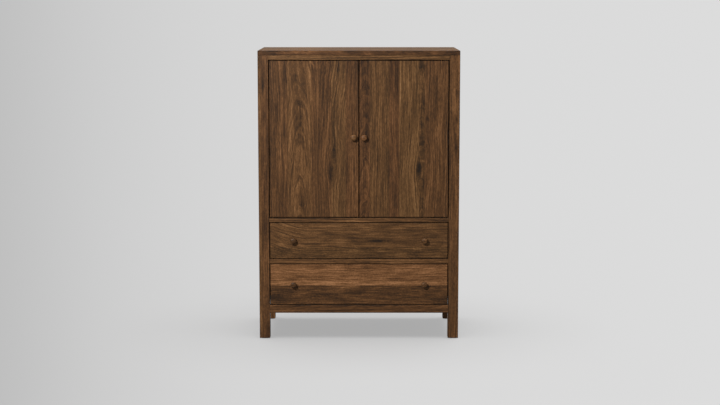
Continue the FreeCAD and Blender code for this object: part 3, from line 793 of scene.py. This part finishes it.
def finish_maple():
    for index, drawer in enumerate(DRAWERS):
        for number, (part, (along, across)) in enumerate(MAPLE_BOARDS.items()):
            finish_maple_node(f"{drawer}_{part}", along, across, MAPLE_DRAWER_SEEDS * index + number)
    finish_maple_node("floor_cleats", "y", "z", FLOOR_CLEATS_SEED)


def finish_hardware(hardware):
    finish_node("hinge_case_leaves", hardware["brass"])
    for side, _ in SIDES:
        finish_node(f"{side}_hinge_door_leaves", hardware["brass"])
        finish_node(f"{side}_strike_plate", hardware["steel"])
    for drawer in DRAWERS:
        for member in SLIDE_MEMBERS:
            finish_node(f"{drawer}_slide_{member}_members", hardware["steel"])
    finish_node("foot_glides", hardware["nylon"])
    finish_node("door_catches", hardware["catch_plastic"])


# New pieces

def piece(name, bm, material, body, smooth=True):
    """A mesh piece in the model's frame that moves with a body."""
    bmesh.ops.recalc_face_normals(bm, faces=bm.faces)
    mesh = bpy.data.meshes.new(name)
    bm.to_mesh(mesh)
    bm.free()
    mesh.materials.append(material)
    for polygon in mesh.polygons:
        polygon.use_smooth = smooth
    made = bpy.data.objects.new(name, mesh)
    bpy.context.scene.collection.objects.link(made)
    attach(made, body)
    return made


def join_rings(bm, lower, upper):
    """Faces between two rings of as many corners."""
    for index in range(len(lower)):
        after = (index + 1) % len(lower)
        bm.faces.new((lower[index], lower[after], upper[after], upper[index]))


def knob_profile(radius, projection, board):
    """Radius and height above the board of a turned knob, from the end of its tenon to its crown."""
    neck_rise = KNOB_RIM_HEIGHT - KNOB_NECK_HEIGHT
    crown_rise = projection - KNOB_RIM_HEIGHT
    turns = [step / KNOB_CURVE_STEPS * math.pi / 2 for step in range(KNOB_CURVE_STEPS)]
    profile = [
        (0.0, -board),
        (KNOB_TENON_RADIUS, -board),
        (KNOB_TENON_RADIUS, 0.0),
        (KNOB_NECK_RADIUS, 0.0),
    ]
    for turn in turns:
        flare = (radius - KNOB_NECK_RADIUS) * (1 - math.cos(turn))
        profile.append((KNOB_NECK_RADIUS + flare, KNOB_NECK_HEIGHT + neck_rise * math.sin(turn)))
    for turn in turns:
        reach = radius * math.cos(turn) ** (2 / KNOB_FULLNESS)
        profile.append((reach, KNOB_RIM_HEIGHT + crown_rise * math.sin(turn) ** (2 / KNOB_FULLNESS)))
    profile.append((0.0, projection))
    return profile


def turn_knob(bm, x, front, z, profile):
    """Adds one knob, turned about an axis along Y. Its profile starts and ends on that axis."""
    foot, *outline, crown = profile
    angles = [2 * math.pi * side / KNOB_SIDES for side in range(KNOB_SIDES)]
    rings = []
    for radius, height in outline:
        corners = [(x + radius * math.cos(a), front - height, z + radius * math.sin(a)) for a in angles]
        rings.append([bm.verts.new(corner) for corner in corners])
    for lower, upper in zip(rings, rings[1:]):
        join_rings(bm, lower, upper)
    for ring, (_, height) in ((rings[0], foot), (rings[-1], crown)):
        middle = bm.verts.new((x, front - height, z))
        for side in range(KNOB_SIDES):
            bm.faces.new((ring[side], ring[(side + 1) % KNOB_SIDES], middle))


def make_knobs():
    """Smooth turned knobs in place of the banded ones."""
    for index, (node, (body, carrier, tone, redness)) in enumerate(KNOBS.items()):
        low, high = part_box(node)
        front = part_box(carrier)[0].y
        radius = (high.z - low.z) / 2
        profile = knob_profile(radius, front - low.y, high.y - front)
        bm = bmesh.new()
        is_pair = high.x - low.x > PAIR_LEAST_RADII * radius
        for x in (low.x + radius, high.x - radius) if is_pair else ((low.x + high.x) / 2,):
            turn_knob(bm, x, front, (low.z + high.z) / 2, profile)
        stave = (low.z, tone, redness, low.z)
        board = Board("x", "z", (low, high), [stave], seed=KNOB_SEED_STEP * index + KNOB_FIRST_SEED)
        made = piece("turned_" + node, bm, walnut(node, board, KNOB_ROUGHNESS), body)
        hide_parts(node)


def screw(bm, place, out):
    """Adds one flat screw head with a cross recess, facing along out."""
    out = Vector(out)
    side = out.orthogonal().normalized()
    up = out.cross(side)

    def ring(points, height, share=1.0):
        return [
            bm.verts.new(Vector(place) + side * (share * x) + up * (share * y) + out * height)
            for x, y in points
        ]

    angles = [2 * math.pi * i / SCREW_SIDES for i in range(SCREW_SIDES)]
    circle = [(SCREW_RADIUS * math.cos(a), SCREW_RADIUS * math.sin(a)) for a in angles]
    arm, half = CROSS_ARM * SCREW_RADIUS, CROSS_HALF_WIDTH * SCREW_RADIUS
    quarter = [(arm, -half), (arm, half), (half, half)]
    cross = []
    for _ in range(4):
        cross += quarter
        quarter = [(-y, x) for x, y in quarter]
    base = ring(circle, 0.0)
    brim = ring(circle, SCREW_RISE, SCREW_BRIM)
    mouth = ring(cross, SCREW_RISE)
    bed = ring(cross, CROSS_BED_LEVEL * SCREW_RISE, CROSS_BED)
    join_rings(bm, base, brim)
    join_rings(bm, mouth, bed)
    bm.faces.new(base)
    bm.faces.new(bed)
    rims = []
    for loop in (brim, mouth):
        rims += [bm.edges.get((loop[i], loop[(i + 1) % len(loop)])) for i in range(len(loop))]
    bmesh.ops.triangle_fill(bm, edges=rims, use_beauty=True)


def screws(name, heads, body, slot, hardware):
    """One piece with a screw head for each place and direction."""
    bm = bmesh.new()
    for place, out in heads:
        screw(bm, place, out)
    piece(name, bm, hardware[slot], body, smooth=False)


def spaced(low, high, count):
    return [low + (high - low) * i / (count - 1) for i in range(count)]


def back_panel_screws(hardware):
    """Screws round the edges of both back panels."""
    heads = []
    for node in ("upper_back_panel", "lower_back_panel"):
        low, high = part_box(node)
        xs = spaced(low.x + BACK_SCREW_INSET, high.x - BACK_SCREW_INSET, BACK_SCREWS_ACROSS)
        zs = spaced(low.z + BACK_SCREW_INSET, high.z - BACK_SCREW_INSET, BACK_SCREWS_UP)
        rows = {(x, z) for x in xs for z in (zs[0], zs[-1])}
        columns = {(x, z) for x in (xs[0], xs[-1]) for z in zs}
        heads += [((x, high.y, z), BACKWARDS) for x, z in sorted(rows | columns)]
    screws("back_panel_screws", heads, "case", "steel", hardware)


def hinge_screws(hardware):
    """Two screws in each leaf, on the face that shows in the gap when the door is open."""
    leaf_low, leaf_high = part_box("right_hinge_door_leaves")
    y = (leaf_low.y + leaf_high.y) / 2
    door_levels = ((leaf_low.z, DOWN), (leaf_high.z, UP))
    case_levels = ((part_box("door_rail")[1].z, UP), (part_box("top_front_rail")[0].z, DOWN))
    case_heads = []
    for name, side in SIDES:
        xs = [side * (leaf_high.x - inset) for inset in HINGE_SCREW_INSETS]
        door_heads = [((x, y, z), out) for x in xs for z, out in door_levels]
        case_heads += [((x, y, z), out) for x in xs for z, out in case_levels]
        screws(f"{name}_door_leaf_screws", door_heads, f"{name}_door", "brass", hardware)
    screws("case_leaf_screws", case_heads, "case", "brass", hardware)


def drawer_screws(hardware):
    """Screws through each drawer box into its front, and through its slides' inner members."""
    for drawer in DRAWERS:
        low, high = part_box(f"{drawer}_drawer_box_front")
        xs = spaced(FRONT_SCREW_REACH * low.x, FRONT_SCREW_REACH * high.x, FRONT_SCREWS_ACROSS)
        zs = [low.z + share * (high.z - low.z) for share in FRONT_SCREW_LEVELS]
        heads = [((x, high.y, z), BACKWARDS) for x in xs for z in zs]
        low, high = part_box(f"{drawer}_slide_inner_members")
        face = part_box(f"{drawer}_drawer_right_side")[1].x + SLIDE_SHEET
        middle = (low.z + high.z) / 2
        for y in spaced(low.y + SLIDE_SCREW_INSET, high.y - SLIDE_SCREW_INSET, SLIDE_SCREWS):
            heads += [((side * face, y, middle), (side, 0, 0)) for _, side in SIDES]
        screws(f"{drawer}_drawer_screws", heads, f"{drawer}_drawer", "steel", hardware)


def case_screws(hardware):
    """Screws under the door catches and in the square battens that carry the shelf."""
    heads = []
    low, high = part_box("door_catches")
    for inset in CATCH_SCREW_INSETS:
        heads += [((x, (low.y + high.y) / 2, low.z), DOWN) for x in (low.x + inset, high.x - inset)]
    low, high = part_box("shelf_cleats")
    batten_size = high.z - low.z
    reach = high.x - batten_size
    post_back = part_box("front_right_post")[1].y
    rear_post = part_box("rear_right_post")[0].y
    for y in ((low.y + post_back) / 2, (rear_post + high.y) / 2):
        heads += [((side * reach, y, (low.z + high.z) / 2), (-side, 0, 0)) for _, side in SIDES]
    screws("case_screws", heads, "case", "steel", hardware)


def make_screws(hardware):
    back_panel_screws(hardware)
    hinge_screws(hardware)
    drawer_screws(hardware)
    case_screws(hardware)


# Stage

def pale_floor():
    """Matt floor that keeps the armoire's shadow, with part of its light its own."""
    shader = Shader(bpy.data.materials.new("pale_floor"))
    place = shader.parts(shader.node("TexCoord").outputs["Object"])
    distance = shader.math("MAXIMUM", shader.minus(place[1], CAMERA_PLACE[1]), FLOOR_NEAREST)
    bearing = shader.math("DIVIDE", place[0], distance)
    stops = []
    for stop_bearing, grey in FLOOR_SHADES:
        stops.append(((stop_bearing / FLOOR_BEARING + 1) / 2, linear((grey,) * 3)))
    share = shader.spread(bearing, -FLOOR_BEARING, FLOOR_BEARING)
    colour = shader.ramp(share, stops, "B_SPLINE")["Color"]
    shown = shader.shown()
    bounced = shader.mix(1.0, colour, (FLOOR_BOUNCE, FLOOR_BOUNCE, FLOOR_BOUNCE, 1), "MULTIPLY")
    matt = shader.node("BsdfDiffuse", {"Color": shader.mix(shown, bounced, colour)})
    own = shader.node("Emission", {"Color": colour})
    own_share = shader.times(shown, FLOOR_OWN_LIGHT)
    both = shader.node("MixShader", {0: own_share, 1: matt.outputs[0], 2: own.outputs[0]})
    return shader.end(both, "OutputMaterial")


def make_floor():
    """A very large pale floor, a little lighter towards the right of the photograph."""
    bm = bmesh.new()
    bmesh.ops.create_grid(bm, x_segments=1, y_segments=1, size=FLOOR_REACH)
    mesh = bpy.data.meshes.new("floor")
    bm.to_mesh(mesh)
    bm.free()
    mesh.materials.append(pale_floor())
    floor = bpy.data.objects.new("floor", mesh)
    bpy.context.scene.collection.objects.link(floor)
    floor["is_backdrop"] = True


def make_sky():
    """An even sky that lights weakly and shows as a pale background."""
    world = bpy.data.worlds.new("sky")
    bpy.context.scene.world = world
    shader = Shader(world)
    light = shader.node("Background", {"Color": SKY_COLOUR, "Strength": SKY_STRENGTH})
    seen = shader.node("Background", {"Color": linear(BACKGROUND)})
    both = shader.node("MixShader", {0: shader.shown(), 1: light.outputs[0], 2: seen.outputs[0]})
    shader.end(both, "OutputWorld")


def add_lamp(name, kind, energy):
    data = bpy.data.lights.new(name, kind)
    data.energy = energy
    lamp = bpy.data.objects.new(name, data)
    bpy.context.scene.collection.objects.link(lamp)
    return lamp


def make_lamps():
    key = add_lamp("key_lamp", "AREA", KEY_POWER)
    key.data.shape = "SQUARE"
    key.data.size = KEY_SIZE
    key.location = KEY_PLACE
    key.rotation_mode = "QUATERNION"
    key.rotation_quaternion = (Vector(KEY_PLACE) - Vector(KEY_AIM)).to_track_quat("Z", "Y")
    armoire = bpy.data.collections.new("lit_by_key_lamp")
    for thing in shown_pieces():
        armoire.objects.link(thing)
    key.light_linking.receiver_collection = armoire
    top = add_lamp("top_lamp", "SUN", TOP_LAMP_STRENGTH)
    top.data.angle = TOP_LAMP_ANGLE


def make_camera():
    data = bpy.data.cameras.new("camera")
    data.lens = CAMERA_LENS
    data.sensor_width = CAMERA_SENSOR
    data.clip_end = 2 * FLOOR_REACH
    camera = bpy.data.objects.new("camera", data)
    camera.location = CAMERA_PLACE
    camera.rotation_euler = (math.pi / 2 - CAMERA_PITCH, 0, 0)
    bpy.context.scene.collection.objects.link(camera)
    bpy.context.scene.camera = camera


bpy.context.scene.view_settings.view_transform = "Standard"
make_camera()
make_sky()
finish_fronts()
finish_plain_boards()
finish_maple()
hardware = make_hardware()
finish_hardware(hardware)
make_knobs()
make_screws(hardware)
make_floor()
make_lamps()
